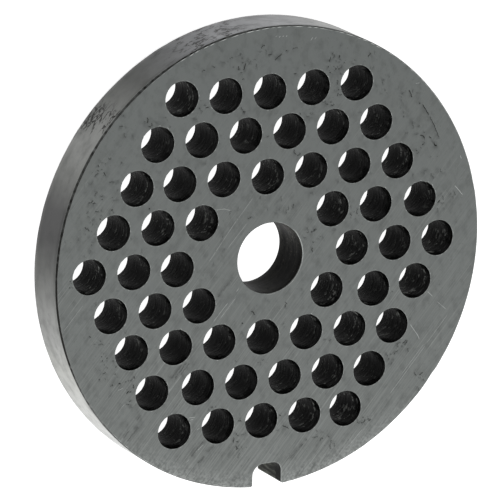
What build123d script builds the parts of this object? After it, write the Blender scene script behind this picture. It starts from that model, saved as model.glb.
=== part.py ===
"""Drilled grinding plate for a size 8 meat grinder head.

The plate lies on its back face, with the origin on the bore's axis at that face. +Z points
out through the cutting face, which the knife sweeps, and the keyway is on the -Y side.
All sizes are in millimetres and degrees.
"""

from build123d import *
from math import hypot, sqrt
import os

# Plate
PLATE_DIAMETER = 62.0  # seats in the ring of a size 8 head
PLATE_THICKNESS = 6.5
RIM_BREAK = 0.3  # chamfer round the rim, on both faces

# Centre bore, which carries the outer end of the worm
STUD_DIAMETER = 9.4
STUD_CLEARANCE = 0.125  # on the diameter, so the stud runs freely
BORE_BREAK = 0.15  # chamfer at both mouths of the bore

# Keyway, which a pin in the head enters so that the plate can't turn
PIN_DIAMETER = 4.0
PIN_CLEARANCE = 0.2  # on the width
KEYWAY_DEPTH = 3.1  # from the rim to the keyway's inner end
KEYWAY_CORNER_RADIUS = 1.3  # left by the cutter in the two inner corners
KEYWAY_MOUTH_RADIUS = 0.3  # eases the pin in past the rim

# Grinding holes, in rows with every other row set half a pitch across
HOLE_DIAMETER = 4.76
HOLE_PITCH = 6.39
HUB_LAND = 2.5  # least solid metal between the bore and a hole
RIM_LAND = 2.2  # least solid metal between the rim and a hole

# The plate was drilled row by row from a hand-laid pattern, so the field isn't quite true
FIELD_OFFSET = (-0.65, 0.2)  # centre of the field from the bore's axis
FIELD_TURN = -0.7  # rows from the X axis
ROW_DRIFT = {  # by rows up from the bore
    3: (-0.15, 0.0),
    1: (0.15, 0.0),
    -2: (-0.1, 0.3),
    -3: (0.1, 0.05),
}
HOLE_STRAY = {  # by pitches across and rows up from the bore
    (-2, 4): (0.0, 0.2),
    (-3, 2): (0.2, 0.0),
    (0, 2): (0.0, -0.25),
    (-2, 0): (-0.1, -0.3),
    (3.5, 1): (0.25, 0.0),
    (1.5, -1): (-0.4, 0.2),
    (2.5, -1): (0.2, -0.4),
    (2, -2): (0.1, -0.25),
    (3, -2): (0.05, -0.55),
    (-2.5, -3): (-0.3, 0.0),
    (2.5, -3): (-0.15, -0.3),
    (2, -4): (-0.3, 0.2),
}

plate_radius = PLATE_DIAMETER / 2
bore_radius = (STUD_DIAMETER + STUD_CLEARANCE) / 2
keyway_width = PIN_DIAMETER + PIN_CLEARANCE
hole_radius = HOLE_DIAMETER / 2


def hole_centres() -> list[tuple[float, float]]:
    """Centres of the grinding holes, from the field's own centre and along its rows.

    The rows fill the plate, less the places too near the bore or the rim for a whole hole
    with its land.
    """
    row_spacing = HOLE_PITCH * sqrt(3) / 2
    nearest = bore_radius + HUB_LAND + hole_radius
    farthest = plate_radius - RIM_LAND - hole_radius
    rows = int(farthest / row_spacing)
    centres = []
    for row in range(-rows, rows + 1):
        half_step = (row % 2) / 2
        places = int(farthest / HOLE_PITCH) + 1
        for place in range(-places, places + 1):
            across = place + half_step
            x = across * HOLE_PITCH
            y = row * row_spacing
            if nearest <= hypot(x, y) <= farthest:
                row_x, row_y = ROW_DRIFT.get(row, (0, 0))
                stray_x, stray_y = HOLE_STRAY.get((across, row), (0, 0))
                centres.append((x + row_x + stray_x, y + row_y + stray_y))
    return centres


with BuildPart() as grinder_plate:
    # Turned blank: half section from the bore to the rim, with its edges broken
    with BuildSketch(Plane.XZ) as half_section:
        with Locations((bore_radius, 0)):
            Rectangle(plate_radius - bore_radius, PLATE_THICKNESS, align=(Align.MIN, Align.MIN))
        chamfer(half_section.vertices().group_by(Axis.X)[0], length=BORE_BREAK)
        chamfer(half_section.vertices().group_by(Axis.X)[-1], length=RIM_BREAK)
    revolve(axis=Axis.Z)

    # Keyway, milled in from the rim right through the thickness
    with BuildSketch(Plane.XY) as keyway:
        with Locations((0, -plate_radius)):
            Rectangle(keyway_width, 2 * KEYWAY_DEPTH)
        fillet(keyway.vertices().group_by(Axis.Y)[-1], radius=KEYWAY_CORNER_RADIUS)
    extrude(amount=PLATE_THICKNESS, mode=Mode.SUBTRACT)
    mouth_corners = grinder_plate.edges().filter_by(Axis.Z).group_by(Axis.Y)[0]
    fillet(mouth_corners, radius=KEYWAY_MOUTH_RADIUS)

    # Grinding holes, left sharp at both faces because their edges do the cutting
    with BuildSketch(Plane.XY) as field:
        with Locations(Location((*FIELD_OFFSET, 0), (0, 0, FIELD_TURN))):
            with Locations(*hole_centres()):
                Circle(hole_radius)
    extrude(amount=PLATE_THICKNESS, mode=Mode.SUBTRACT)

grinder_plate.part.label = "grinder_plate"

os.makedirs("parts", exist_ok=True)
export_step(grinder_plate.part, "parts/grinder_plate.step")
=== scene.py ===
"""Dresses a used meat grinder plate: a turned steel disc, drilled, bored, keyed and ground.

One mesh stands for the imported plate. It has the plate's own bore, keyway and field of holes, and
adds what the workshop and the years left on them: eased edges, chipped rims and pits. Sizes are
in millimetres until a mesh, a lamp or the camera is made.
"""

from __future__ import annotations

import logging
import math
from dataclasses import dataclass, field
from enum import Enum

import bpy
import numpy as np
from mathutils import Matrix, Vector
from mathutils.geometry import delaunay_2d_cdt

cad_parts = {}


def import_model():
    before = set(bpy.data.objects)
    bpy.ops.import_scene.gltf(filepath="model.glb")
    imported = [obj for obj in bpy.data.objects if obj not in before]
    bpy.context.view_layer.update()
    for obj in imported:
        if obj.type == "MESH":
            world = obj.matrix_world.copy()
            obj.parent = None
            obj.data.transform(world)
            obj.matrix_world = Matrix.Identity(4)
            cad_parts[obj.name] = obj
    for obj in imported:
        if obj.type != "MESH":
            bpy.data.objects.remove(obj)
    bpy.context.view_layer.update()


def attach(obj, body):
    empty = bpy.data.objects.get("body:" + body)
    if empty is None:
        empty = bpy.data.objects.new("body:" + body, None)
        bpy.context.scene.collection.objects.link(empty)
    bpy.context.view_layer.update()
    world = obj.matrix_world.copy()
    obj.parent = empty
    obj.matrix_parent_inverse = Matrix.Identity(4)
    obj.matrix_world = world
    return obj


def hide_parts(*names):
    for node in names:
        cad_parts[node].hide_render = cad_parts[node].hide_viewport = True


MM = 0.001
MARK = "mark"  # point attribute: 1 at the bottom of a dirty pit, -1 in a fresh bright scratch

Tree = bpy.types.NodeTree
Node = bpy.types.Node
Source = Node | bpy.types.NodeSocket  # what can feed a node's input
Surface = tuple[Node, Node, Node]  # a finish's colour, its gloss and its tool marks

log = logging.getLogger("grinder_plate")


class Zone(Enum):
    """The worked surfaces of the plate, in the order of its material slots."""

    GROUND = 0
    RIM = 1
    DRILLED = 2
    BORE = 3
    KEYWAY = 4
    WORN_EDGE = 5


class Edge(Enum):
    """How a wall meets a face, as rows of (inset, drop) in shares of the edge's width."""

    EASED = ((1.0, 0.0), (0.5, 0.134), (0.134, 0.5), (0.0, 1.0))
    CHAMFERED = ((1.05, 0.0), (0.92, 0.05), (0.06, 0.9), (0.0, 1.05))


# ---------------------------------------------------------------------------------------------
# Shared helpers
# ---------------------------------------------------------------------------------------------


def linear(colour: str) -> tuple[float, float, float, float]:
    """Turns an sRGB hex colour into the linear one that nodes take.

    Args:
        colour: Six hex digits, with or without a leading hash.

    Returns:
        Linear red, green and blue, and an alpha of 1.
    """
    digits = colour.lstrip("#")
    channels = []
    for start in (0, 2, 4):
        share = int(digits[start : start + 2], 16) / 255
        channels.append(share / 12.92 if share <= 0.04045 else ((share + 0.055) / 1.055) ** 2.4)
    return channels[0], channels[1], channels[2], 1.0


def add_node(
    tree: Tree,
    kind: str,
    settings: dict[str | int, object] | None = None,
    links: dict[str | int, Source] | None = None,
) -> Node:
    """Adds a node with its settings and links.

    Args:
        tree: The node tree that gets the node.
        kind: The node's type without its "ShaderNode" prefix, such as "TexNoise".
        settings: Values by name: the node's own settings, or else its inputs by name or index.
        links: What feeds this node's inputs, by the input's name or index: a socket, or a node
            whose first output in use is meant.

    Returns:
        The new node.
    """
    node = tree.nodes.new(f"ShaderNode{kind}")
    for name, value in (settings or {}).items():
        if isinstance(name, str) and name in node.bl_rna.properties:
            setattr(node, name, value)
        else:
            node.inputs[name].default_value = value
    for name, source in (links or {}).items():
        if isinstance(source, Node):
            source = next(socket for socket in source.outputs if socket.enabled)
        tree.links.new(source, node.inputs[name])
    return node


def ring_noise(
    rng: np.random.Generator, angles: np.ndarray, waves: range, size: float
) -> np.ndarray:
    """Smooth noise that closes on itself round a ring.

    Args:
        rng: The source of phases and heights.
        angles: Angles round the ring, in radians.
        waves: How many waves go round, for each part of the noise.
        size: The noise's rms height.

    Returns:
        One height for each angle.
    """
    total = np.zeros_like(angles)
    for count in waves:
        total += rng.normal() * np.cos(count * angles + rng.uniform(0, 2 * math.pi))
    return total * size / math.sqrt(len(waves) / 2)


def nearest_gap(points: np.ndarray, others: np.ndarray) -> np.ndarray:
    """How far each point is from the nearest of some others, both n by 2."""
    gaps = [
        np.hypot(
            part[:, None, 0] - others[None, :, 0], part[:, None, 1] - others[None, :, 1]
        ).min(axis=1)
        for part in np.array_split(points, max(1, len(points) // 500))
    ]
    return np.concatenate(gaps)


# ---------------------------------------------------------------------------------------------
# Mesh making
# ---------------------------------------------------------------------------------------------


class MeshMaker:
    """Collects points and faces in millimetres, and makes one mesh of them in metres."""

    def __init__(self) -> None:
        """Starts with no points and no faces."""
        self.points: list[np.ndarray] = []
        self.marks: list[np.ndarray] = []
        self.faces: list[tuple[int, ...]] = []
        self.zones: list[int] = []
        self.count = 0

    def add_points(self, points: np.ndarray, marks: np.ndarray) -> np.ndarray:
        """Adds points.

        Args:
            points: An n by 3 array.
            marks: How marked each of them is.

        Returns:
            The new points' indices.
        """
        first = self.count
        self.points.append(points)
        self.marks.append(marks)
        self.count += len(points)
        return np.arange(first, self.count)

    def add_strip(self, upper: np.ndarray, lower: np.ndarray, zones: np.ndarray) -> None:
        """Joins two closed rows of as many points by quads.

        Args:
            upper: Indices of the row nearer the cutting face.
            lower: Indices of the row below it.
            zones: The zone number of each quad.
        """
        after_upper, after_lower = np.roll(upper, -1), np.roll(lower, -1)
        quads = np.stack([lower, after_lower, after_upper, upper], axis=1)
        self.faces.extend(map(tuple, quads.tolist()))
        self.zones.extend(zones.tolist())

    def add_faces(self, faces: np.ndarray, zone: Zone) -> None:
        """Adds faces of one zone, from rows of point indices."""
        self.faces.extend(map(tuple, faces.tolist()))
        self.zones.extend([zone.value] * len(faces))

    def make(self, name: str) -> bpy.types.Object:
        """Makes the object.

        Args:
            name: The object's and its mesh's name.

        Returns:
            The object, linked to the scene.
        """
        mesh = bpy.data.meshes.new(name)
        mesh.from_pydata((np.concatenate(self.points) * MM).tolist(), [], self.faces)
        mesh.polygons.foreach_set("material_index", np.array(self.zones, dtype=np.int32))
        mesh.polygons.foreach_set("use_smooth", np.ones(len(self.faces), dtype=bool))
        marks = mesh.attributes.new(MARK, "FLOAT", "POINT")
        marks.data.foreach_set("value", np.concatenate(self.marks).astype(np.float32))
        mesh.update()
        made = bpy.data.objects.new(name, mesh)
        bpy.context.scene.collection.objects.link(made)
        return made


@dataclass
class Wall:
    """A wall between the two faces, as a closed loop with the metal on its left.

    Attributes:
        points: The loop, n by 2.
        outward: Unit vectors from the metal to the open side, n by 2.
        width: How far the edge at each face is broken, one for each point.
        edge: The form of that edge.
        zones: The zone number of each stretch between two points.
        stain: How dark the broken edges are, one for each point; round the rim a painted dark
            reflection.
        burr: How bright their lips are, partly bare steel and partly a painted highlight, one for
            each point.
        levels: How many rows of quads the straight part of the wall has.
        taper: How much further into the open the wall stands at the back.
        lip: Width of the strip of face along the edge in which the bright lip fades.
    """

    points: np.ndarray
    outward: np.ndarray
    width: np.ndarray
    edge: Edge
    zones: np.ndarray
    stain: np.ndarray
    burr: np.ndarray
    levels: int = 6
    taper: float = 0.0
    lip: float = 0.09

    @classmethod
    def of_hole(
        cls, middle: tuple[float, float], radius: np.ndarray, zone: Zone, **rest: object
    ) -> Wall:
        """Makes a round hole's wall, clockwise from above so that the metal is on its left.

        Args:
            middle: The hole's middle.
            radius: Its radius at each step round.
            zone: The finish of its wall.
            rest: The wall's other attributes.

        Returns:
            The wall.
        """
        angles = -np.linspace(0, 2 * math.pi, len(radius), endpoint=False)
        facing = np.column_stack([np.cos(angles), np.sin(angles)])
        points = np.array(middle) + facing * radius[:, None]
        return cls(points, -facing, zones=np.full(len(radius), zone.value), **rest)

    def build(self, maker: MeshMaker, thickness: float) -> tuple[np.ndarray, np.ndarray]:
        """Adds the wall, both its edges and their lips.

        Args:
            maker: The mesh that gets them.
            thickness: The plate's thickness.

        Returns:
            Indices of the loop at the cutting face, and of the loop at the back.
        """
        none = self.width * 0
        front = [(self.width * self.edge.value[0][0] + self.lip, none, none)]
        last = len(self.edge.value) - 1
        for place, (inset, drop) in enumerate(self.edge.value):
            # An edge's mark: its lip's brightness, partly a painted highlight, and its chamfer's
            # darkness, round the rim a painted dark reflection.
            mark = (-self.burr, self.stain)[min(place, 1)] * (0.3 if place == last else 1.0)
            front.append((self.width * inset, self.width * drop, mark))
        sides = [(inset, thickness - drop, mark) for inset, drop, mark in front]
        deepest = front[-1][1]
        for level in range(1, self.levels):
            share = level / self.levels
            sides.append((none, thickness * (1 - share) + deepest * (2 * share - 1), none))
        sides += reversed(front)
        rows = []
        for inset, height, mark in sides:
            inward = self.taper * (1 - height / thickness) - inset
            flat = self.points + self.outward * inward[:, None]
            rows.append(maker.add_points(np.column_stack([flat, height]), mark))
        face = np.full(len(self.points), Zone.GROUND.value)
        broken = np.full(len(self.points), Zone.WORN_EDGE.value)
        edge = [broken] * last
        zones = [face, *edge, *[self.zones] * self.levels, *edge, face]
        for upper, lower, zone in zip(rows, rows[1:], zones):
            maker.add_strip(upper, lower, zone)
        return rows[0], rows[-1]


@dataclass(frozen=True)
class Furrow:
    """One mark in a face: a crack, a scratch or a string of pits along a line.

    Attributes:
        path: Points on its way.
        strength: How dark it is, from 0 to 1, or how bright where it is below 0.
        breadth: Its width.
        filled: How much of its length is there, the rest being gaps.
    """

    path: tuple[tuple[float, float], ...]
    strength: float = 0.8
    breadth: float = 0.15
    filled: float = 0.8


@dataclass(frozen=True)
class Patch:
    """A patch of short crooked furrows: its middle, its spread, how it lies, what is in it."""

    x: float
    y: float
    length: float
    breadth: float
    count: int
    strength: float = 0.6
    turn: float = 0.0
    run: float = 1.0  # length of one furrow


class Marks:
    """Marks of one face, gathered as points for the face's mesh."""

    CLEAR = 0.11  # least gap between the middles of two marks
    PIT_STEP, PIT_WOBBLE = 0.11, 0.035
    SCRATCH_STEP, SCRATCH_WOBBLE = 0.3, 0.008
    BREAK_CHANCE = 0.22  # how often a furrow may stop or start again at a point
    PIT_DEPTH, SCRATCH_DEPTH = 0.7, 0.15  # in shares of half the breadth
    UNEVEN = (0.75, 1.25)  # a furrow's breadth along its way, in shares
    LEGS = (1, 5)  # straight legs of a patch's furrow: at least, and fewer than
    BEND = 0.9  # rms turn from leg to leg, in radians
    REACH = (0.12, 0.36)  # a leg's length, in shares of the furrow's
    STRENGTH = (0.3, 1.4)  # a furrow's strength, in shares of its patch's
    BREADTH = (0.1, 0.16)  # a furrow's breadth in a patch
    PATCH_FILLED = 0.9

    def __init__(self, rng: np.random.Generator) -> None:
        """Starts with no marks, from a source of chance."""
        self.rng = rng
        self.spots: list[tuple[float, float, float, float]] = []
        self.middles = np.zeros((0, 2))

    def furrow(self, furrow: Furrow) -> None:
        """Cuts a furrow, in as many runs as its gaps leave."""
        path = np.array(furrow.path)
        length = np.hypot(*np.diff(path, axis=0).T).sum()
        if furrow.strength > 0:
            way = self.way(path, self.PIT_STEP, self.PIT_WOBBLE)
        else:
            way = self.way(path, min(self.SCRATCH_STEP, length / 5), self.SCRATCH_WOBBLE)
        run: list[np.ndarray] = []
        present = True
        for point in way:
            if self.rng.random() < self.BREAK_CHANCE:
                present = self.rng.random() < furrow.filled
            taken = len(self.middles) and (
                np.hypot(*(self.middles - point).T).min() < self.CLEAR
            )
            if present and not taken:
                run.append(point)
                continue
            self.cut(run, furrow)
            run = []
        self.cut(run, furrow)

    def way(self, path: np.ndarray, step: float, wobble: float) -> np.ndarray:
        """Points at even steps along a path, each a little off it."""
        lengths = np.hypot(*np.diff(path, axis=0).T)
        along = np.concatenate([[0.0], np.cumsum(lengths)])
        places = np.linspace(0, along[-1], max(2, round(along[-1] / step) + 1))
        points = np.column_stack([np.interp(places, along, path[:, k]) for k in (0, 1)])
        return points + self.rng.normal(0, wobble, points.shape)

    def cut(self, run: list[np.ndarray], furrow: Furrow) -> None:
        """Adds one unbroken run of a furrow: its bed, and both its banks.

        Args:
            run: Points along the bed.
            furrow: The furrow that it is part of.
        """
        if len(run) < 2:
            return
        points = np.array(run)
        ahead = np.gradient(points, axis=0)
        ahead /= np.maximum(np.hypot(*ahead.T), 1e-6)[:, None]
        aside = np.column_stack([-ahead[:, 1], ahead[:, 0]])
        last = len(points) - 1
        for place, (point, side) in enumerate(zip(points, aside)):
            if place in (0, last):
                self.spots.append((*point, 0.0, 0.0))
                continue
            half = furrow.breadth / 2 * self.rng.uniform(*self.UNEVEN)
            depth = half * (self.PIT_DEPTH if furrow.strength > 0 else self.SCRATCH_DEPTH)
            self.spots.append((*point, depth, furrow.strength))
            self.spots.append((*(point + side * half), 0.0, 0.0))
            self.spots.append((*(point - side * half), 0.0, 0.0))
        self.middles = np.concatenate([self.middles, points])

    def patch(self, patch: Patch) -> None:
        """Cuts a patch of furrows, thicker towards its middle."""
        turn = math.radians(patch.turn)
        for _ in range(patch.count):
            across = self.rng.normal() * patch.length / 2
            up = self.rng.normal() * patch.breadth / 2
            x = patch.x + across * math.cos(turn) - up * math.sin(turn)
            y = patch.y + across * math.sin(turn) + up * math.cos(turn)
            heading = self.rng.uniform(0, 2 * math.pi)
            path = [(x, y)]
            for _ in range(self.rng.integers(*self.LEGS)):
                heading += self.rng.normal() * self.BEND
                reach = patch.run * self.rng.uniform(*self.REACH)
                x, y = x + math.cos(heading) * reach, y + math.sin(heading) * reach
                path.append((x, y))
            strength = min(1.0, patch.strength * self.rng.uniform(*self.STRENGTH))
            breadth = self.rng.uniform(*self.BREADTH)
            self.furrow(Furrow(tuple(path), strength, breadth, self.PATCH_FILLED))


# ---------------------------------------------------------------------------------------------
# Finishes
# ---------------------------------------------------------------------------------------------


@dataclass(frozen=True)
class Pattern:
    """A cloudy pattern, as large as its real one along each axis, in millimetres."""

    x: float
    y: float
    z: float
    detail: float = 2.0

    def build(self, tree: Tree, place: Source) -> Node:
        """Adds the pattern's nodes.

        Args:
            tree: The material's nodes.
            place: The coordinates, in metres.

        Returns:
            The node that gives the pattern's height, from 0 to 1.
        """
        scale = tuple(1 / (size * MM) for size in (self.x, self.y, self.z))
        scaled = add_node(tree, "Mapping", {"Scale": scale}, {"Vector": place})
        settings = {"Scale": 1.0, "Detail": self.detail, "Roughness": 0.6}
        return add_node(tree, "TexNoise", settings, {"Vector": scaled})


@dataclass(frozen=True)
class Layer:
    """A layer of colour that covers more or less of what lies below it.

    Attributes:
        source: What its cover follows.
        start: The source's value at which it starts.
        full: The source's value at which it covers most.
        colour: Its colour.
        most: The share that it covers at most.
        limits: Shares that its cover is cut down by.
    """

    source: Source
    start: float
    full: float
    colour: str
    most: float = 1.0
    limits: tuple[Source, ...] = ()

    def build(self, tree: Tree, below: Source | str) -> Node:
        """Adds the layer's nodes.

        Args:
            tree: The material's nodes.
            below: The colour that it lies on, or the node that gives it.

        Returns:
            The node that gives the colour of both.
        """
        ends = {"From Min": self.start, "From Max": self.full, "To Max": self.most}
        cover = add_node(tree, "MapRange", ends, {"Value": self.source})
        for limit in self.limits:
            cover = add_node(tree, "Math", {"operation": "MULTIPLY"}, {0: cover, 1: limit})
        settings = {"data_type": "RGBA", "B": linear(self.colour)}
        links = {"Factor": cover}
        if isinstance(below, str):
            settings["A"] = linear(below)
        else:
            links["A"] = below
        return add_node(tree, "Mix", settings, links)


@dataclass(frozen=True)
class Finish:
    """A finish of steel, from which a subclass makes the surface.

    Attributes:
        name: The material's name.
        dark: The colour of its darker places.
        light: The colour of its lighter places.
        roughness: Its mean roughness.
        metallic: How bare the metal is.
        specular: How strongly a dull coat over it shines, where 0.5 is plain.
        bump_mm: How deep its tool marks are.
        glossier: How much less rough its glossy places are.
        duller: How much rougher its dull places are.
    """

    name: str
    dark: str
    light: str
    roughness: float = 0.42
    metallic: float = 1.0
    specular: float = 0.5
    bump_mm: float = 0.01
    glossier: float = 0.06
    duller: float = 0.08

    def build(self) -> bpy.types.Material:
        """Makes the material."""
        material = bpy.data.materials.new(self.name)
        material.use_nodes = True
        tree = material.node_tree
        tree.nodes.clear()
        place = add_node(tree, "TexCoord").outputs["Object"]
        colour, blur, height = self.surface(tree, place)
        low, high = self.roughness - self.glossier, self.roughness + self.duller
        ends = {"From Min": 0.3, "From Max": 0.7, "To Min": low, "To Max": high}
        rough = add_node(tree, "MapRange", ends, {"Value": blur})
        depth = {"Strength": 0.5, "Distance": self.bump_mm * MM}
        bump = add_node(tree, "Bump", depth, {"Height": height})
        shader = add_node(
            tree,
            "BsdfPrincipled",
            {"Metallic": self.metallic, "Specular IOR Level": self.specular},
            {"Base Color": colour, "Roughness": rough, "Normal": bump},
        )
        add_node(tree, "OutputMaterial", links={"Surface": shader})
        return material

    def surface(self, tree: Tree, place: bpy.types.NodeSocket) -> Surface:
        """Adds the nodes of the surface.

        Args:
            tree: The material's nodes.
            place: The coordinates on the object, in metres.

        Returns:
            The nodes of its colour, of its dull and glossy places, and of its tool marks.
        """
        raise NotImplementedError


@dataclass(frozen=True)
class GroundSteel(Finish):
    """Carbon tool steel, surface ground, then worn dull and spotted by rust.

    To the eye it is an even mid grey with fine straight scratches that all run one way. They show
    most towards the keyway, where the face is painted a little lighter as painted light from the
    low lamp on that side.
    """

    scratch: str = "#9da09e"
    fresh: str = "#c3c6c4"
    dull: str = "#4b4d4c"
    pit: str = "#1f201e"
    lay_degrees: float = 49.0  # the way the scratches run, from +X
    lightest: float = 0.55  # how far the side by the keyway goes towards the light colour, as painted light
    grain: Pattern = Pattern(6.0, 0.16, 0.16, 3.0)  # 0.05 mm grit marks, drawn coarser to show
    cut: Pattern = Pattern(14.0, 0.13, 0.13, 0.0)
    cloud: Pattern = Pattern(5.0, 5.0, 5.0, 3.0)
    mottle: Pattern = Pattern(1.3, 1.9, 1.3, 3.0)
    speck: Pattern = Pattern(0.4, 0.4, 0.4, 2.0)

    def surface(self, tree: Tree, place: bpy.types.NodeSocket) -> Surface:
        """Adds the nodes of the surface, as the base class says."""
        lay = {"vector_type": "TEXTURE", "Rotation": (0, 0, math.radians(self.lay_degrees))}
        along = add_node(tree, "Mapping", lay, {"Vector": place})
        grain, cut = self.grain.build(tree, along), self.cut.build(tree, along)
        cloud, mottle = self.cloud.build(tree, place), self.mottle.build(tree, place)
        speck = self.speck.build(tree, place)
        split = add_node(tree, "SeparateXYZ", links={"Vector": place})
        away = add_node(tree, "VectorMath", {"operation": "LENGTH"}, {0: place})
        mark = add_node(tree, "Attribute", {"attribute_name": MARK}).outputs["Fac"]
        # The first is painted light: the face grows lighter towards -Y, the keyway's side, where
        # the key lamp stands low.
        lighter_side, low, outer, clouded, group = (
            add_node(
                tree,
                "MapRange",
                {"From Min": first, "From Max": last, "To Max": most},
                {"Value": source},
            )
            for source, first, last, most in (
                (split.outputs["Y"], 28 * MM, -30 * MM, 1.0),
                (split.outputs["Y"], -20 * MM, -28 * MM, 1.0),
                (away.outputs["Value"], 29.0 * MM, 31.5 * MM, 1.0),
                (cloud, 0.35, 0.65, 0.45),
                (cloud, 0.44, 0.60, 1.0),
            )
        )
        tone = add_node(
            tree,
            "Math",
            {"operation": "MULTIPLY_ADD", 1: self.lightest},
            {0: lighter_side, 2: clouded},
        )
        coloured = Layer(tone, 0.0, 1.0, self.light).build(tree, self.dark)
        for layer in (
            Layer(mottle, 0.48, 0.72, self.dull, 0.45),
            Layer(grain, 0.42, 0.72, self.scratch, 0.22, (lighter_side,)),
            Layer(grain, 0.44, 0.64, self.scratch, 0.12, (low,)),
            Layer(speck, 0.64, 0.78, self.pit, 0.25),
            Layer(cut, 0.66, 0.74, self.scratch, 0.45, (group, lighter_side)),
            Layer(speck, 0.42, 0.60, self.fresh, 0.22, (low, outer)),
            Layer(mark, 0.0, -0.8, self.fresh),
            Layer(mark, 0.1, 0.45, self.pit),
        ):
            coloured = layer.build(tree, coloured)
        return coloured, cloud, grain


@dataclass(frozen=True)
class TurnedRim(Finish):
    """The same steel, turned in a lathe, with painted reflections and a painted highlight round
    it.

    To the eye it is smooth and cloudy, and its tone changes slowly round the rim: painted
    reflections and a painted highlight. Two places have old rust in dark cracks.

    Attributes:
        painted_reflection_tones: Painted reflections and highlight: the rim's tone at an angle
            from +X, 0 to 360 degrees.
        rust: The angle of each rusted place, its width in degrees, and how far rust has gone.
    """

    painted_reflection_tones: tuple[tuple[float, str], ...] = ()
    rust: tuple[tuple[float, float, float], ...] = ((139.0, 6.0, 1.0), (106.0, 15.0, 1.0))
    rust_colour: str = "#0d0b0a"
    rust_creep: float = 0.16  # how much further rust goes into cracks in the middle of a place
    cloud: Pattern = Pattern(2.6, 2.6, 1.8, 4.0)
    blotch: Pattern = Pattern(0.8, 0.8, 0.6, 3.0)
    crack: Pattern = Pattern(2.2, 2.2, 1.1, 4.0)

    def surface(self, tree: Tree, place: bpy.types.NodeSocket) -> Surface:
        """Adds the nodes of the surface, as the base class says."""
        split = add_node(tree, "SeparateXYZ", links={"Vector": place})
        sides = {0: split.outputs["Y"], 1: split.outputs["X"]}
        turn = add_node(tree, "Math", {"operation": "ARCTAN2"}, sides)
        for operation, value in (("MULTIPLY", 0.5 / math.pi), ("FLOORED_MODULO", 1.0)):
            turn = add_node(tree, "Math", {"operation": operation, 1: value}, {0: turn})
        # The tone by angle is painted reflection and highlight: light where a lamp would shine in
        # the rim, dark where dark surroundings would reflect.
        painted_reflection_ramp = add_node(tree, "ValToRGB", links={"Fac": turn})
        stops = painted_reflection_ramp.color_ramp.elements
        while len(stops) < len(self.painted_reflection_tones):
            stops.new(0.5)
        for stop, (degrees, tone) in zip(stops, self.painted_reflection_tones):
            stop.position, stop.color = degrees / 360, linear(tone)

        cloud, blotch = self.cloud.build(tree, place), self.blotch.build(tree, place)
        crack = self.crack.build(tree, place)
        # A crack is drawn where its pattern crosses the middle, as a contour on a map.
        depth = add_node(tree, "Math", {"operation": "SUBTRACT", 1: 0.5}, {0: crack})
        wall = add_node(tree, "Math", {"operation": "ABSOLUTE"}, {0: depth})
        line = add_node(tree, "MapRange", {"From Min": 0.04, "From Max": 0.018}, {"Value": wall})
        layers = [Layer(cloud, 0.46, 0.76, self.dark, 0.35)]
        layers.append(Layer(blotch, 0.50, 0.80, self.dark, 0.25))
        for degrees, width, reach in self.rust:
            middle = {"operation": "SUBTRACT", 1: degrees / 360}
            off = add_node(tree, "Math", middle, {0: turn})
            gap = add_node(tree, "Math", {"operation": "ABSOLUTE"}, {0: off})
            ends = {"From Min": width / 360, "From Max": 0.4 * width / 360, "To Max": reach}
            near = add_node(tree, "MapRange", ends, {"Value": gap})
            creep = {"operation": "MULTIPLY_ADD", 1: self.rust_creep}
            spread = add_node(tree, "Math", creep, {0: near, 2: cloud})
            layers.append(Layer(spread, 0.56, 0.62, self.rust_colour, 1.0, (near, line)))
        coloured = painted_reflection_ramp
        for layer in layers:
            coloured = layer.build(tree, coloured)
        return coloured, cloud, cloud


@dataclass(frozen=True)
class DrilledSteel(Finish):
    """The wall of a drilled hole, coated black by oil, juice and rust.

    To the eye it is nearly black and dull. The drill's rings have broken the coat below the mouth,
    where a little bare steel shows in streaks, more in some holes than in others.
    """

    bare: str = "#a2a4a0"
    ring: Pattern = Pattern(1.8, 1.8, 0.42, 3.0)  # coarser than the real rings, to show
    torn: Pattern = Pattern(0.7, 0.7, 0.9, 3.0)
    each: Pattern = Pattern(9.0, 9.0, 30.0, 0.0)  # about one value for each hole
    coated_from: float = 4.8  # the coat closes from this height up,
    coated_to: float = 5.9  # and is whole above this one

    def surface(self, tree: Tree, place: bpy.types.NodeSocket) -> Surface:
        """Adds the nodes of the surface, as the base class says."""
        ring, torn = self.ring.build(tree, place), self.torn.build(tree, place)
        each = self.each.build(tree, place)
        split = add_node(tree, "SeparateXYZ", links={"Vector": place})
        shown = tuple(
            add_node(
                tree,
                "MapRange",
                {"From Min": start, "From Max": stop, "To Min": least},
                {"Value": pattern},
            )
            for pattern, start, stop, least in (
                (ring, 0.50, 0.62, 0.0),
                (torn, 0.50, 0.60, 0.0),
                (each, 0.42, 0.62, 0.2),
            )
        )
        start, full = self.coated_to * MM, self.coated_from * MM
        coat = Layer(torn, 0.3, 0.7, self.light).build(tree, self.dark)
        bared = Layer(split.outputs["Z"], start, full, self.bare, 1.0, shown)
        return bared.build(tree, coat), torn, ring


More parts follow.
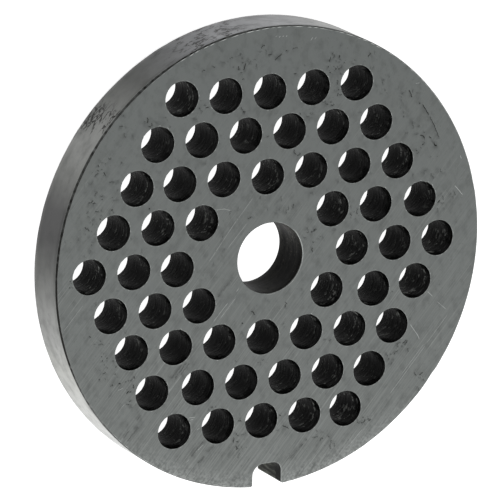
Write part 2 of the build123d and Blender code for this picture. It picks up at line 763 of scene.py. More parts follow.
@dataclass(frozen=True)
class ReamedSteel(Finish):
    """The wall of the reamed bore, dark with dried grease that the stud has polished.

    To the eye it is nearly black, with the reamer's rings, pinholes and specks of bare steel. The
    side away from the keyway is rubbed a little lighter.
    """

    bare: str = "#8a8880"
    ring: Pattern = Pattern(6.0, 6.0, 0.4)
    stain: Pattern = Pattern(3.0, 3.0, 3.0, 4.0)
    fleck: Pattern = Pattern(0.3, 0.3, 0.3, 1.0)
    pit: Pattern = Pattern(1.1, 1.1, 0.7, 4.0)
    rubbed_from: float = -1.0  # where, along Y, the rubbed side starts
    rubbed_to: float = 4.0
    least_rubbed: float = 0.15

    def surface(self, tree: Tree, place: bpy.types.NodeSocket) -> Surface:
        """Adds the nodes of the surface, as the base class says."""
        ring, stain = self.ring.build(tree, place), self.stain.build(tree, place)
        fleck, pit = self.fleck.build(tree, place), self.pit.build(tree, place)
        split = add_node(tree, "SeparateXYZ", links={"Vector": place})
        ends = {"From Min": self.rubbed_from * MM, "From Max": self.rubbed_to * MM}
        ends["To Min"] = self.least_rubbed
        lighter_side = add_node(tree, "MapRange", ends, {"Value": split.outputs["Y"]})
        coloured: Node | str = self.dark
        for layer in (
            Layer(stain, 0.4, 0.6, self.light),
            Layer(ring, 0.40, 0.70, self.bare, 0.35, (lighter_side,)),
            Layer(fleck, 0.68, 0.74, self.bare, 1.0, (lighter_side,)),
            Layer(pit, 0.52, 0.60, self.dark),
        ):
            coloured = layer.build(tree, coloured)
        return coloured, stain, ring


@dataclass(frozen=True)
class BroachedSteel(Finish):
    """The wall of the keyway, cut by a broach that entered from the cutting face.

    To the eye the first millimetre and a half is dark and smooth, and below it the steel is
    lighter and torn along the cut. It is painted darker towards the slot's inner end, as shade in
    that corner.
    """

    smooth_depth: float = 1.5
    thickness: float = 6.5
    wander: float = 1.6  # how far the line between the two wanders
    soft: float = 0.1  # half the breadth of that line
    painted_shade_inner_end: float = -27.6  # where, along Y, painted shade makes it quite dark
    painted_shade_outer_end: float = -30.8
    torn: Pattern = Pattern(0.5, 0.5, 3.2, 3.0)
    stain: Pattern = Pattern(0.9, 0.9, 1.4, 4.0)

    def surface(self, tree: Tree, place: bpy.types.NodeSocket) -> Surface:
        """Adds the nodes of the surface, as the base class says."""
        torn, stain = self.torn.build(tree, place), self.stain.build(tree, place)
        split = add_node(tree, "SeparateXYZ", links={"Vector": place})
        height = add_node(
            tree,
            "Math",
            {"operation": "MULTIPLY_ADD", 1: self.wander * MM},
            {0: stain, 2: split.outputs["Z"]},
        )
        # The second is painted shade: the lighter steel fades out towards the slot's inner end,
        # where the corner is in shade.
        tears, outward = (
            add_node(
                tree,
                "MapRange",
                {"From Min": first, "From Max": last, "To Min": least},
                {"Value": source},
            )
            for source, first, last, least in (
                (torn, 0.42, 0.60, 0.1),
                (split.outputs["Y"], self.painted_shade_inner_end * MM, self.painted_shade_outer_end * MM, 0.15),
            )
        )
        line = self.thickness - self.smooth_depth + self.wander / 2
        start, full = (line + self.soft) * MM, (line - self.soft) * MM
        lighter = Layer(height, start, full, self.light, 1.0, (tears, outward))
        return lighter.build(tree, self.dark), torn, torn


@dataclass(frozen=True)
class WornEdge(Finish):
    """The steel of a sharp edge: bright at its lip, and darker in a chamfer.

    To the eye it is a thin light line round every mouth, and a thin dark one round the rim. The
    light line is partly bare steel and partly a painted highlight; the dark one is a painted dark
    reflection.
    """

    lip: str = "#7d807e"
    burr: str = "#e2e4e3"
    nick: Pattern = Pattern(0.3, 0.3, 0.3, 3.0)

    def surface(self, tree: Tree, place: bpy.types.NodeSocket) -> Surface:
        """Adds the nodes of the surface, as the base class says."""
        nick = self.nick.build(tree, place)
        mark = add_node(tree, "Attribute", {"attribute_name": MARK}).outputs["Fac"]
        coloured: Node | str = self.lip
        for layer in (
            Layer(nick, 0.35, 0.65, self.light),
            # Below 0 the mark brightens the lip: partly bare steel, partly a painted highlight.
            Layer(mark, 0.0, -0.8, self.burr),
            # Above 0 the mark darkens the chamfer: round the rim a painted dark reflection.
            Layer(mark, 0.05, 0.7, self.dark),
        ):
            coloured = layer.build(tree, coloured)
        return coloured, nick, nick


FINISHES: dict[Zone, Finish] = {
    Zone.GROUND: GroundSteel(
        "ground_tool_steel", dark="#5f6261", light="#6f7270", bump_mm=0.006
    ),
    Zone.RIM: TurnedRim(
        "turned_rim_steel",
        dark="#3b3c3b",
        light="#b4b5b3",
        roughness=0.4,
        # Painted reflections round the rim: lightest about 200 to 240 degrees as the key lamp's
        # painted highlight, darkest about 126 and 170 degrees.
        painted_reflection_tones=(
            (0, "#747573"), (25, "#8d8e8c"), (50, "#828381"), (66, "#727371"), (74, "#707170"),
            (84, "#717274"), (98, "#6f7072"), (106, "#6d6e70"), (114, "#525354"), (126, "#40413f"),
            (138, "#666765"), (147, "#757674"), (154, "#636462"), (163, "#404040"),
            (170, "#3a3a3a"), (178, "#4f504e"), (188, "#757674"), (196, "#868785"),
            (203, "#9a9b97"), (216, "#a9aaa7"), (228, "#adaeac"), (242, "#8f908e"),
            (270, "#717270"), (300, "#868785"), (330, "#636462"), (360, "#747573"),
        ),
    ),
    Zone.DRILLED: DrilledSteel(
        "drilled_hole_steel",
        dark="#020202",
        light="#0a0b0a",
        roughness=0.3,
        metallic=0.0,
        specular=0.015,
        bump_mm=0.14,
    ),
    Zone.BORE: ReamedSteel(
        "reamed_bore_steel", dark="#060606", light="#1c1c1a", metallic=0.0, specular=0.02
    ),
    Zone.KEYWAY: BroachedSteel(
        "broached_keyway_steel",
        dark="#0c0d0c",
        light="#74776f",
        metallic=0.0,
        specular=0.03,
        bump_mm=0.03,
    ),
    Zone.WORN_EDGE: WornEdge("worn_edge_steel", dark="#272726", light="#9b9e9c"),
}


# ---------------------------------------------------------------------------------------------
# The plate
# ---------------------------------------------------------------------------------------------


@dataclass(frozen=True)
class Wear:
    """All the marks of one face."""

    furrows: tuple[Furrow, ...]
    patches: tuple[Patch, ...]


# The rim's chamfer, by degrees from +X: its width, how black it is (a painted dark reflection),
# and how bright its lip is (partly bare steel, partly a painted highlight).
RIM_WIDTH = (
    (0, 0.08), (45, 0.08), (60, 0.12), (75, 0.16), (90, 0.2), (105, 0.22), (150, 0.24),
    (180, 0.25), (200, 0.22), (230, 0.12), (300, 0.08), (360, 0.08),
)
RIM_PAINTED_DARK_REFLECTION = (
    (0, 0.15), (45, 0.2), (58, 0.5), (90, 0.6), (120, 0.64), (135, 0.58), (150, 0.6), (165, 0.66),
    (180, 0.74), (198, 0.74), (210, 0.5), (232, 0.45), (258, 0.4), (268, 0.6), (286, 0.7),
    (300, 0.2), (360, 0.15),
)
RIM_BURR_AND_PAINTED_HIGHLIGHT = (
    (0, 0.1), (50, 0.3), (60, 1.0), (112, 1.0), (120, 0.3), (128, 0.0), (215, 0.0), (232, 0.6),
    (288, 0.6), (300, 0.15), (360, 0.1),
)

# Dark scratches along the lay: how dark each is, and points on its way.
DARK_SCRATCHES = (
    (0.35, (-14.2, -14.6), (-12.3, -12.4)),
    (0.4, (-13.7, -14.6), (-12.0, -12.6)),
    (0.3, (-12.9, -14.3), (-11.3, -12.4)),
    (0.3, (-21.2, -21.8), (-18.6, -18.9)),
    (0.3, (-20.6, -22.3), (-18.9, -20.4)),
    (0.35, (-11.3, -25.6), (-8.8, -23.0)),
    (0.3, (-10.2, -26.6), (-6.9, -23.6)),
    (0.35, (3.4, -27.7), (6.0, -25.3)),
    (0.3, (-7.6, -4.4), (-5.4, -1.9)),
    (0.3, (-25.9, -3.9), (-24.6, -2.5)),
)
# Fresh scratches: how bright each is, how much of its length is there, and points on its way.
FRESH_SCRATCHES = (
    (0.6, 1.0, (27.3, 6.8), (28.0, 6.0), (28.7, 5.2)),
    (0.48, 1.0, (28.1, 10.8), (28.3, 10.2)),
    (0.42, 1.0, (21.1, 21.2), (21.8, 21.2)),
    (0.42, 1.0, (0.3, 29.5), (0.5, 29.7)),
    (0.48, 1.0, (0.8, 29.4), (1.0, 29.6)),
    (0.42, 1.0, (1.3, 29.4), (1.5, 29.6)),
    (0.48, 1.0, (1.8, 29.4), (2.0, 29.6)),
    (0.36, 1.0, (5.4, 28.5), (5.8, 29.0)),
    (0.3, 1.0, (6.0, 28.6), (6.3, 29.0)),
    (0.36, 1.0, (-8.0, 7.4), (-6.8, 7.4), (-5.7, 7.0)),
    (0.24, 0.9, (-9.0, 0.5), (-4.6, 6.2)),
    (0.24, 0.9, (-6.3, 2.0), (-3.4, 5.2)),
    (0.2, 0.9, (-5.0, 5.6), (-2.6, 8.5)),
    (0.36, 0.9, (-8.3, -7.7), (-4.4, -3.4)),
    (0.3, 0.9, (-7.3, -7.4), (-4.9, -4.7)),
    (0.48, 1.0, (-11.7, -20.2), (-10.6, -20.2)),
    (0.42, 1.0, (-11.6, -20.5), (-10.9, -20.5)),
    (0.36, 1.0, (-10.5, -22.0), (-9.8, -21.7)),
    (0.33, 0.9, (18.2, -20.8), (23.5, -14.7)),
    (0.24, 0.9, (19.9, -18.3), (23.3, -14.4)),
    (0.24, 0.9, (23.6, -14.5), (26.8, -10.8)),
    (0.36, 0.9, (12.0, -27.3), (14.3, -25.0)),
    (0.36, 0.9, (-12.0, -26.3), (-9.3, -24.0)),
    (0.48, 1.0, (23.5, -7.2), (24.5, -8.2)),
    (0.3, 0.8, (25.0, -8.8), (26.6, -10.2)),
    (0.48, 1.0, (21.0, -11.4), (22.3, -13.2), (22.6, -13.9)),
    (0.24, 0.9, (-29.9, -6.3), (-27.0, -3.0)),
    (0.3, 0.9, (-23.7, -19.9), (-20.9, -17.0)),
    (0.48, 1.0, (-22.0, -15.2), (-21.2, -14.9)),
)

# Patches: the values of a Patch, in its order.
FRONT_PATCHES = (
    (-2.7, 27.2, 2.0, 1.8, 12), (-7.2, 27.0, 3.5, 1.6, 8, 0.5), (-4.7, 25.2, 1.6, 1.6, 12, 0.8),
    (-10.2, 26.3, 0.6, 0.4, 2, 0.9), (-10.2, 21.6, 1.0, 1.8, 7), (-16.0, 19.9, 3.2, 1.0, 12),
    (-20.6, 19.9, 1.5, 1.8, 6, 0.35), (-24.6, 14.7, 1.4, 2.2, 8, 0.5),
    (-22.9, 11.2, 1.0, 1.6, 5, 0.45), (-25.6, 9.0, 1.6, 3.2, 18, 0.5),
    (-23.3, 8.4, 1.8, 0.8, 7, 0.7), (-26.4, 5.2, 1.6, 2.0, 10, 0.4), (-4.6, 20.3, 1.4, 0.6, 4),
    (-7.2, 16.5, 0.8, 0.4, 3), (-5.5, 6.5, 2.4, 1.0, 5, 0.4),
    (5.0, 25.5, 2.0, 1.4, 6, 0.8, 0.0, 0.5), (9.6, 25.1, 2.6, 2.2, 20, 0.8),
    (8.6, 22.0, 1.4, 3.0, 14), (12.8, 25.0, 2.8, 0.8, 8), (16.8, 21.4, 1.8, 2.2, 8, 0.35),
    (18.7, 18.2, 1.4, 3.6, 8, 0.35), (21.8, 15.0, 2.6, 1.6, 6, 0.4),
    (22.7, 13.2, 1.2, 0.7, 7, 0.9), (21.7, 12.3, 1.2, 0.6, 5, 0.5),
    (24.4, 9.3, 2.6, 3.0, 10, 0.35), (25.9, 5.0, 2.2, 1.4, 14, 0.5), (6.4, 1.8, 1.8, 1.8, 8),
    (12.0, 4.9, 1.0, 1.0, 8), (11.4, 20.3, 2.4, 0.8, 6, 0.5), (4.5, 19.0, 1.6, 1.0, 5, 0.5),
    (3.3, 13.8, 1.6, 1.4, 5, 0.5), (2.0, 6.0, 3.0, 1.6, 10, 0.35),
    (-23.0, -12.0, 2.4, 3.6, 30, 0.7, 0.0, 0.6), (-20.7, -15.0, 2.4, 1.2, 16, 0.9, 0.0, 0.6),
    (-20.3, -17.2, 1.0, 1.0, 4, 0.5), (-24.7, -7.8, 1.4, 1.4, 6, 0.5),
    (-28.6, -0.2, 0.8, 0.7, 6, 0.7), (-4.7, -21.9, 0.7, 0.8, 9, 0.8), (-4.3, -24.6, 1.0, 1.6, 9),
    (-7.5, -19.3, 0.6, 0.5, 4, 0.8), (-0.9, -14.4, 1.2, 1.6, 6),
    (2.3, -7.2, 4.6, 0.12, 12, 0.8, 92, 0.4), (8.6, -11.4, 1.4, 1.0, 7, 0.5),
    (19.5, -14.1, 1.4, 0.9, 14), (18.1, -15.6, 1.4, 1.0, 7, 0.45),
    (14.3, -23.8, 0.9, 0.7, 8, 0.75), (9.2, -26.1, 2.6, 0.8, 12, 0.6, -38),
    (22.8, -19.4, 0.6, 1.0, 6, 0.7), (18.0, -6.8, 0.5, 0.3, 2, 0.8),
    (0.0, 10.0, 40.0, 24.0, 110, 0.3, 0.0, 0.6), (0.0, -14.0, 36.0, 20.0, 60, 0.25, 0.0, 0.5),
)

FRONT_WEAR = Wear(
    furrows=(
        # Cracks and strings of pits
        Furrow(((0.2, 26.4), (1.1, 27.1), (2.0, 27.6), (3.6, 27.8)), 0.6),
        Furrow(((19.8, 21.3), (20.7, 19.3), (21.3, 18.7), (22.2, 18.3), (23.3, 16.7)), 0.8),
        Furrow(((23.3, 16.7), (23.8, 15.7), (24.5, 14.3), (24.9, 13.3)), 0.65, 0.12, 0.95),
        Furrow(((-25.2, 15.3), (-24.6, 14.7), (-24.0, 13.7)), 0.6),
        Furrow(((2.3, -4.4), (2.35, -6.5), (2.2, -9.7)), 0.6, 0.12, 0.5),
        Furrow(((-2.7, -6.8), (-2.3, -7.1), (-2.0, -7.8)), 0.7),
        Furrow(((22.7, -19.2), (23.4, -19.0), (24.5, -18.6)), 0.8),
        Furrow(((1.5, -21.5), (2.7, -21.7)), 0.7),
        Furrow(((2.2, -23.0), (3.2, -23.6)), 0.6),
        Furrow(((24.1, 12.7), (24.3, 12.5), (24.5, 12.4)), 1.0, 0.26, 1.0),
        Furrow(((-4.1, -8.3), (-3.8, -8.4)), 1.0, 0.24, 1.0),
        Furrow(((-23.2, 9.0), (-22.9, 9.1)), 1.0, 0.24, 1.0),
        Furrow(((-17.8, 8.6), (-17.6, 8.8)), 0.9, 0.22, 1.0),
        *(Furrow(tuple(way), dark, 0.12, 0.8) for dark, *way in DARK_SCRATCHES),
        *(Furrow(tuple(way), -glint, 0.1, there) for glint, there, *way in FRESH_SCRATCHES),
    ),
    patches=tuple(Patch(*row) for row in FRONT_PATCHES),
)
BACK_WEAR = Wear(
    furrows=(
        Furrow(((-12.0, 26.0), (-9.5, 27.2), (-7.8, 27.4)), 0.6),
        Furrow(((21.0, -9.0), (23.4, -6.2)), -0.3, 0.1, 0.9),
    ),
    patches=(
        Patch(8.0, -26.5, 8.0, 1.6, 30, 0.6),
        Patch(-22.0, -17.0, 5.0, 2.0, 30, 0.5, turn=-50),
        Patch(25.5, 8.0, 2.0, 5.0, 24, 0.5),
        Patch(0.0, 0.0, 40.0, 40.0, 150, 0.35, run=0.7),
    ),
)


@dataclass(frozen=True)
class HoleField:
    """The field of grinding holes, drilled row by row from a hand-laid pattern."""

    radius: float = 2.38
    pitch: float = 6.39
    offset: tuple[float, float] = (-0.65, 0.2)
    turn_degrees: float = -0.7
    nearest: float = 9.64  # least distance of a hole from the field's middle
    farthest: float = 26.42
    row_drift: dict[int, tuple[float, float]] = field(
        default_factory=lambda: {
            3: (-0.15, 0.0),
            1: (0.15, 0.0),
            -2: (-0.1, 0.3),
            -3: (0.1, 0.05),
        }
    )
    stray: dict[tuple[float, int], tuple[float, float]] = field(
        default_factory=lambda: {
            (-2, 4): (0.0, 0.2),
            (-3, 2): (0.2, 0.0),
            (0, 2): (0.0, -0.25),
            (-2, 0): (-0.1, -0.3),
            (3.5, 1): (0.25, 0.0),
            (1.5, -1): (-0.4, 0.2),
            (2.5, -1): (0.2, -0.4),
            (2, -2): (0.1, -0.25),
            (3, -2): (0.05, -0.55),
            (-2.5, -3): (-0.3, 0.0),
            (2.5, -3): (-0.15, -0.3),
            (2, -4): (-0.3, 0.2),
        }
    )

    def centres(self) -> list[tuple[float, float]]:
        """Works out where the holes are.

        Returns:
            The holes' centres on the plate.
        """
        spacing = self.pitch * math.sqrt(3) / 2
        rows = int(self.farthest / spacing)
        places = int(self.farthest / self.pitch) + 1
        cos, sin = (f(math.radians(self.turn_degrees)) for f in (math.cos, math.sin))
        centres = []
        for row in range(-rows, rows + 1):
            for place in range(-places, places + 1):
                across = place + (row % 2) / 2
                x, y = across * self.pitch, row * spacing
                if not self.nearest <= math.hypot(x, y) <= self.farthest:
                    continue
                for dx, dy in (
                    self.row_drift.get(row, (0.0, 0.0)),
                    self.stray.get((across, row), (0.0, 0.0)),
                ):
                    x, y = x + dx, y + dy
                centres.append(
                    (self.offset[0] + x * cos - y * sin, self.offset[1] + x * sin + y * cos)
                )
        return centres


@dataclass(frozen=True)
class Keyway:
    """The slot in the rim that a pin in the head enters; its inner corners aren't quite alike."""

    width: float = 4.2
    depth: float = 3.1
    left_corner: float = 1.6
    right_corner: float = 1.15
    mouth: float = 0.3
    ease: float = 0.03


@dataclass
class GrinderPlate:
    """The plate as one mesh: two ground faces, the rim with its keyway, the bore and the holes.

    Attributes:
        name: The object's name.
        diameter: Over the rim.
        thickness: Between the faces.
        bore_radius: Of the centre bore.
        bore_break: Width of the bore's chamfer.
        hole_ease: How far the holes' cutting edges have worn round.
        hole_taper: How much smaller a hole's radius is at the back, where the drill ran out.
        holes: The field of holes.
        keyway: The slot in the rim.
        seed: Sets all that is left to chance.
        rim_steps: Points round the rim.
        hole_steps: Points round a hole.
        bore_steps: Points round the bore.
        fill_step: Mean gap between the loose points of a face.
    """

    name: str = "grinder_plate_body"
    diameter: float = 62.0
    thickness: float = 6.5
    bore_radius: float = 4.7625
    bore_break: float = 0.08
    hole_ease: float = 0.03
    hole_taper: float = 0.09
    holes: HoleField = field(default_factory=HoleField)
    keyway: Keyway = field(default_factory=Keyway)
    seed: int = 8
    rim_steps: int = 420
    hole_steps: int = 64
    bore_steps: int = 96
    fill_step: float = 0.85

    NICK_DEGREES, NICK_SPREAD, NICK_WIDTH = 322.5, 0.7, 0.25  # one knock in the rim's edge
    LEAST_BREAK, MOST_BREAK = 0.06, 0.5  # the rim chamfer's width, in between
    TORN_DEGREES = 75  # the side of a hole's mouth that the drill tore
    MARK_LAND = 0.05  # least metal between a mark and an edge
    FILL_LAND = 0.2  # least gap of a loose point from an edge or a mark

    def build(self) -> bpy.types.Object:
        """Builds and dresses the plate.

        Returns:
            The plate's object.
        """
        rng = np.random.default_rng(self.seed)
        maker = MeshMaker()
        walls = [self.outline(rng), self.bore(rng)]
        walls += [self.hole(rng, x, y) for x, y in self.holes.centres()]
        loops = [wall.build(maker, self.thickness) for wall in walls]
        for side, (worn, height) in enumerate(((FRONT_WEAR, self.thickness), (BACK_WEAR, 0.0))):
            marks = Marks(rng)
            for furrow in worn.furrows:
                marks.furrow(furrow)
            for patch in worn.patches:
                marks.patch(patch)
            self.face(maker, [pair[side] for pair in loops], marks, height, rng)
        plate = maker.make(self.name)
        for zone in Zone:
            plate.data.materials.append(FINISHES[zone].build())
        shading = plate.modifiers.new("flat_faces", "WEIGHTED_NORMAL")
        shading.weight = 100
        shading.keep_sharp = True
        return plate

    def outline(self, rng: np.random.Generator) -> Wall:
        """The rim and the keyway as one loop, anticlockwise from above.

        Args:
            rng: The source of chance for the chipped edge.

        Returns:
            The wall of the rim and the keyway.
        """
        key, radius = self.keyway, self.diameter / 2
        half, end = key.width / 2, key.depth - radius
        mouth_x = half + key.mouth
        mouth_y = -math.sqrt((radius - key.mouth) ** 2 - mouth_x**2)
        start = math.atan2(mouth_y, mouth_x)
        stop = math.pi - start
        left = (key.left_corner - half, end - key.left_corner)
        right = (half - key.right_corner, end - key.right_corner)
        # Each arc: middle, radius, first and last angle, steps, and 1 where it bulges outward.
        arcs = (
            ((0.0, 0.0), radius, start, stop, self.rim_steps, 1),
            ((-mouth_x, mouth_y), key.mouth, stop - 2 * math.pi, 0.0, 5, 1),
            (left, key.left_corner, math.pi, math.pi / 2, 12, -1),
            (right, key.right_corner, math.pi / 2, 0.0, 10, -1),
            ((mouth_x, mouth_y), key.mouth, math.pi, 2 * math.pi + start, 5, 1),
        )
        points, outward, keyed = [], [], []
        for number, (middle, size, first, last, steps, bulge) in enumerate(arcs):
            angles = np.linspace(first, last, steps + 1)
            if number == 0:
                angles = angles[1:-1]
            facing = np.column_stack([np.cos(angles), np.sin(angles)])
            points.append(np.array(middle) + size * facing)
            outward.append(bulge * facing)
            keyed.append(np.full(len(angles), number > 0))
        flat, in_key = np.concatenate(points), np.concatenate(keyed)

        around = np.arctan2(flat[:, 1], flat[:, 0])
        degrees = np.degrees(around) % 360
        chips = ring_noise(rng, around, range(40, 160, 7), 0.015)
        wear = ring_noise(rng, around, range(3, 17), 0.02)
        nick = self.NICK_WIDTH * np.exp(-(((degrees - self.NICK_DEGREES) / self.NICK_SPREAD) ** 2))
        rim_width = np.interp(degrees, *zip(*RIM_WIDTH)) + wear + chips + nick
        rim_width = np.clip(rim_width, self.LEAST_BREAK, self.MOST_BREAK)
        width = np.where(in_key, key.ease, rim_width)
        # The chamfer runs out over the last few points before the keyway.
        width = np.convolve(np.tile(width, 3), np.ones(3) / 3, "same")[len(width) : 2 * len(width)]
        specks = ring_noise(rng, around, range(90, 300, 11), 1.0)
        # The chamfer's darkness round the rim is a painted dark reflection.
        stain = np.interp(degrees, *zip(*RIM_PAINTED_DARK_REFLECTION)) + 0.05 * specks
        # The lip's brightness by angle is partly bare steel, partly a painted highlight where
        # light would catch the edge.
        burr = np.interp(degrees, *zip(*RIM_BURR_AND_PAINTED_HIGHLIGHT)) * (0.2 + 1.1 * specks)
        next_in_key = np.roll(in_key, -1)
        return Wall(
            points=flat,
            outward=np.concatenate(outward),
            width=width,
            edge=Edge.CHAMFERED,
            zones=np.where(in_key & next_in_key, Zone.KEYWAY.value, Zone.RIM.value),
            stain=np.where(in_key, 0.0, np.clip(stain, 0.0, 1.0)),
            burr=np.where(in_key, 0.25, np.clip(burr, 0.0, 1.0)),
            levels=8,
        )

    def hole(self, rng: np.random.Generator, x: float, y: float) -> Wall:
        """One grinding hole, a little out of round, its mouth torn where the drill ran out.

        Args:
            rng: The source of chance.
            x: Its middle, across.
            y: Its middle, up the plate.

        Returns:
            The hole's wall.
        """
        angles = -np.linspace(0, 2 * math.pi, self.hole_steps, endpoint=False)
        radius = self.holes.radius + ring_noise(rng, angles, range(2, 4), 0.01)
        ragged = ring_noise(rng, angles, range(11, 31), 1.0)
        side = np.clip(np.cos(angles - math.radians(self.TORN_DEGREES)), 0, 1) ** 2
        torn = np.clip(ragged - 0.6, 0, 2) * side * rng.uniform(0.01, 0.05)
        width = np.clip(self.hole_ease + 0.01 * ragged, 0.02, 0.06) + torn
        return Wall.of_hole(
            (x, y),
            radius,
            Zone.DRILLED,
            width=width,
            edge=Edge.EASED,
            stain=np.clip(torn / 0.03, 0, 1),
            # A bright lip round each mouth, partly bare steel, partly a painted edge highlight.
            burr=np.clip(0.07 + 0.14 * ragged, 0, 0.5),
            taper=self.hole_taper,
            levels=3,
        )

    def bore(self, rng: np.random.Generator) -> Wall:
        """The centre bore, with its chamfers."""
        angles = np.linspace(0, 2 * math.pi, self.bore_steps, endpoint=False)
        radius = np.full(self.bore_steps, self.bore_radius)
        rough = ring_noise(rng, angles, range(5, 25), 1.0)
        width = np.clip(self.bore_break + 0.012 * rough, 0.06, 0.2)
        return Wall.of_hole(
            (0.0, 0.0),
            radius,
            Zone.BORE,
            width=width,
            edge=Edge.CHAMFERED,
            stain=np.clip(0.12 * rough, 0, 0.4),
            # The bore's lip is brightest towards +X: a painted highlight over its random bare
            # steel.
            burr=np.clip(0.06 + 0.1 * rough + 0.25 * np.cos(angles - 0.1), 0, 0.5),
        )

    def face(
        self,
        maker: MeshMaker,
        loops: list[np.ndarray],
        marks: Marks,
        height: float,
        rng: np.random.Generator,
    ) -> None:
        """Fills a face between its loops, with its marks cut in.

        Args:
            maker: The mesh, which already holds the loops' points.
            loops: Indices of the outline's points, then of each hole's.
            marks: The face's marks.
            height: The face's height: 0 is the back, which looks down.
            rng: The source of chance for the loose points.
        """
        made = np.concatenate(maker.points)
        spots = np.array(marks.spots)
        room = self.clearance(spots[:, :2], made, loops)
        spots = spots[room > self.MARK_LAND + spots[:, 2]]
        fill = self.filling(rng, made, loops, spots)
        rows = np.concatenate([spots, np.column_stack([fill, np.zeros_like(fill)])])
        heights = height + rows[:, 2] * (-1 if height else 1)
        own = maker.add_points(np.column_stack([rows[:, :2], heights]), rows[:, 3])

        indices = np.concatenate([*loops, own])
        flat = np.concatenate([made[np.concatenate(loops), :2], rows[:, :2]])
        edges, owner, first = [], np.full(len(indices), -1), 0
        for number, loop in enumerate(loops):
            places = np.arange(first, first + len(loop))
            edges += np.column_stack([places, np.roll(places, -1)]).tolist()
            owner[places] = number
            first += len(loop)
        found = delaunay_2d_cdt([Vector(point) for point in flat.tolist()], edges, [], 0, 1e-9)
        if len(found[0]) != len(flat):
            raise ValueError("the face's loops or marks cross each other")
        triangles = np.array(found[2])
        owners = owner[triangles]
        same = (owners[:, 0] == owners[:, 1]) & (owners[:, 1] == owners[:, 2])
        in_hole = same & (owners[:, 0] > 0)
        in_keyway = same & (owners[:, 0] == 0)
        rim = flat[: len(loops[0])]
        in_keyway[in_keyway] = self.outside(flat[triangles[in_keyway]].mean(axis=1), rim)
        triangles = indices[triangles[~(in_hole | in_keyway)]]
        maker.add_faces(triangles if height else triangles[:, ::-1], Zone.GROUND)

    @staticmethod
    def outside(points: np.ndarray, loop: np.ndarray) -> np.ndarray:
        """Tells which points lie outside a loop.

        Args:
            points: Points to test, n by 2.
            loop: The loop, m by 2.

        Returns:
            One truth value for each point.
        """
        inside = np.zeros(len(points), dtype=bool)
        for (x0, y0), (x1, y1) in zip(loop, np.roll(loop, -1, axis=0)):
            if y0 == y1:
                continue
            spans = (points[:, 1] >= min(y0, y1)) & (points[:, 1] < max(y0, y1))
            crossing = x0 + (points[:, 1] - y0) * (x1 - x0) / (y1 - y0)
            inside ^= spans & (points[:, 0] < crossing)
        return ~inside

    def clearance(
        self, flat: np.ndarray, made: np.ndarray, loops: list[np.ndarray]
    ) -> np.ndarray:
        """How far points stand inside the metal of a face.

        Args:
            flat: Points to measure, n by 2.
            made: All the mesh's points.
            loops: Indices of the outline's points, then of each hole's.

        Returns:
            One distance for each point, below 0 off the metal.
        """
        rim = made[loops[0], :2]
        room = nearest_gap(flat, rim)
        room[self.outside(flat, rim)] = -1.0
        for loop in loops[1:]:
            ring = made[loop, :2]
            middle = ring.mean(axis=0)
            reach = np.hypot(*(ring - middle).T).max()
            room = np.minimum(room, np.hypot(*(flat - middle).T) - reach)
        return room

    def filling(
        self,
        rng: np.random.Generator,
        made: np.ndarray,
        loops: list[np.ndarray],
        spots: np.ndarray,
    ) -> np.ndarray:
        """Loose points that keep the face's triangles small and even.

        Args:
            rng: The source of chance.
            made: All the mesh's points.
            loops: Indices of the outline's points, then of each hole's.
            spots: The points of the face's marks, which the loose ones keep clear of.

        Returns:
            The points, n by 2.
        """
        places = np.arange(-self.diameter / 2, self.diameter / 2, self.fill_step)
        flat = np.stack(np.meshgrid(places, places), axis=-1).reshape(-1, 2)
        flat += rng.uniform(-0.25, 0.25, flat.shape) * self.fill_step
        flat = flat[self.clearance(flat, made, loops) > self.FILL_LAND]
        return flat[nearest_gap(flat, spots[:, :2]) > self.FILL_LAND]


# ---------------------------------------------------------------------------------------------
# Stage, light and camera
# ---------------------------------------------------------------------------------------------


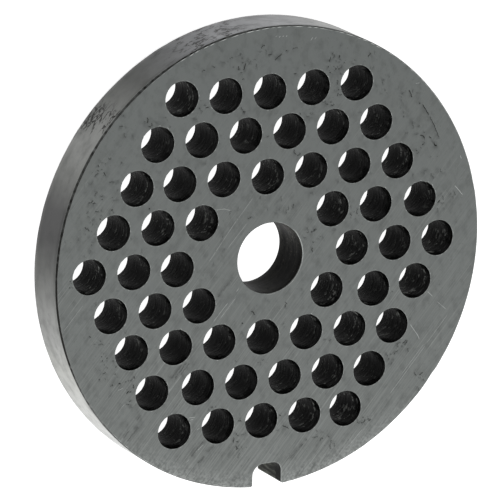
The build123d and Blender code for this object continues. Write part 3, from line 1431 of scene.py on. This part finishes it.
@dataclass(frozen=True)
class PaleFloor:
    """A plain white floor, matt, that keeps the plate's shadow.

    Attributes:
        size: Its side.
        colour: Its own colour.
        glow: What it adds where the camera or a polished surface looks at it.
        under_radius: How far the floor lies under the plate, where it looks fully white through
            the holes.
        under_glow: What a polished surface sees of it there.
    """

    size: float = 6000.0
    colour: str = "#f2f2f2"
    glow: float = 0.7
    under_radius: float = 30.4
    under_glow: float = 1.0

    def build(self) -> bpy.types.Object:
        """Builds the floor.

        Returns:
            The floor's object.
        """
        half = self.size / 2 * MM
        mesh = bpy.data.meshes.new("floor")
        corners = [(-half, -half, 0), (half, -half, 0), (half, half, 0), (-half, half, 0)]
        mesh.from_pydata(corners, [], [(0, 1, 2, 3)])
        floor = bpy.data.objects.new("floor", mesh)
        floor.location.z = -0.03 * MM
        bpy.context.scene.collection.objects.link(floor)
        mesh.materials.append(self.material())
        return floor

    def material(self) -> bpy.types.Material:
        """Makes the floor's material."""
        material = bpy.data.materials.new("pale_floor")
        material.use_nodes = True
        tree = material.node_tree
        tree.nodes.clear()
        matt = add_node(tree, "BsdfDiffuse", {"Color": linear(self.colour)})
        path = add_node(tree, "LightPath")
        camera = path.outputs["Is Camera Ray"]
        rays = {0: path.outputs["Is Glossy Ray"], 1: path.outputs["Is Transmission Ray"]}
        polished = add_node(tree, "Math", {"operation": "MAXIMUM"}, rays)
        seen = add_node(tree, "Math", {"operation": "MAXIMUM"}, {0: camera, 1: polished})
        around = add_node(tree, "Math", {"operation": "MULTIPLY", 1: self.glow}, {0: seen})
        gain = {"operation": "MULTIPLY_ADD", 1: self.under_glow}
        under = add_node(tree, "Math", gain, {0: polished, 2: camera})
        place = add_node(tree, "TexCoord").outputs["Object"]
        away = add_node(tree, "VectorMath", {"operation": "LENGTH"}, {0: place})
        within = {"operation": "LESS_THAN", 1: self.under_radius * MM}
        beneath = add_node(tree, "Math", within, {0: away})
        glows = {"Factor": beneath, "A": around, "B": under}
        strength = add_node(tree, "Mix", {"data_type": "FLOAT"}, glows)
        light = add_node(tree, "Emission", links={"Strength": strength})
        both = add_node(tree, "AddShader", links={0: matt, 1: light})
        add_node(tree, "OutputMaterial", links={"Surface": both})
        return material


@dataclass(frozen=True)
class Softbox:
    """A square lamp with a diffuser, aimed at the plate.

    Attributes:
        name: The lamp's name.
        azimuth: Where it stands round the plate, in degrees from +X.
        elevation: How high it stands, in degrees above the floor.
        distance: How far it is from the plate.
        side: Its side.
        power: Its power in watts.
    """

    name: str
    azimuth: float
    elevation: float
    distance: float
    side: float
    power: float

    def build(self) -> bpy.types.Object:
        """Builds the lamp."""
        lamp = bpy.data.lights.new(self.name, "AREA")
        lamp.size = self.side * MM
        lamp.energy = self.power
        made = bpy.data.objects.new(self.name, lamp)
        around, above = math.radians(self.azimuth), math.radians(self.elevation)
        way = Vector(
            (
                math.cos(above) * math.cos(around),
                math.cos(above) * math.sin(around),
                math.sin(above),
            )
        )
        made.location = way * self.distance * MM
        made.rotation_mode = "QUATERNION"
        made.rotation_quaternion = way.to_track_quat("Z", "Y")
        bpy.context.scene.collection.objects.link(made)
        return made


@dataclass(frozen=True)
class Studio:
    """The room's even light, and the softboxes."""

    room: float = 0.65
    softboxes: tuple[Softbox, ...] = (
        Softbox("key", azimuth=232, elevation=42, distance=700, side=420, power=1.72),
        Softbox("overhead", azimuth=330, elevation=60, distance=900, side=700, power=1.25),
    )

    def build(self) -> None:
        """Sets the room's light and hangs the softboxes."""
        world = bpy.data.worlds.new("room")
        bpy.context.scene.world = world
        world.use_nodes = True
        world.node_tree.nodes.clear()
        even = add_node(
            world.node_tree,
            "Background",
            {"Color": (1.0, 1.0, 1.0, 1.0), "Strength": self.room},
        )
        add_node(world.node_tree, "OutputWorld", links={"Surface": even})
        for softbox in self.softboxes:
            softbox.build()


@dataclass(frozen=True)
class Camera:
    """A long lens that looks down on the plate from its upper left.

    Attributes:
        position: Where it stands.
        target: What its middle looks at.
        roll: How far it is turned about its own axis, anticlockwise, in degrees.
        lens: Focal length on a 36 mm frame.
    """

    position: tuple[float, float, float] = (-388.577, 229.575, 730.889)
    target: tuple[float, float, float] = (-2.979, 1.448, 6.489)
    roll: float = 117.563
    lens: float = 473.0

    def build(self) -> bpy.types.Object:
        """Builds the camera and makes it the scene's own."""
        data = bpy.data.cameras.new("camera")
        data.lens = self.lens
        data.sensor_width = 36.0
        data.clip_start, data.clip_end = 0.01, 20.0
        made = bpy.data.objects.new("camera", data)
        stand, aim = Vector(self.position) * MM, Vector(self.target) * MM
        level = (aim - stand).to_track_quat("-Z", "Y").to_matrix().to_4x4()
        turned = level @ Matrix.Rotation(math.radians(self.roll), 4, "Z")
        made.matrix_world = Matrix.Translation(stand) @ turned
        bpy.context.scene.collection.objects.link(made)
        bpy.context.scene.camera = made
        return made


def main() -> None:
    """Loads the frame, then builds the camera, the light, the floor and the plate."""
    logging.basicConfig(level=logging.INFO, format="%(name)s: %(message)s")
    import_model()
    scene = bpy.context.scene
    scene.view_settings.view_transform = "Standard"

    Camera().build()
    Studio().build()
    PaleFloor().build()
    log.info("camera, light and floor are set")

    plate = GrinderPlate().build()
    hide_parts("grinder_plate")
    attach(plate, "root")
    mesh = plate.data
    log.info("%s: %d points, %d faces", plate.name, len(mesh.vertices), len(mesh.polygons))


if __name__ == "__main__":
    main()
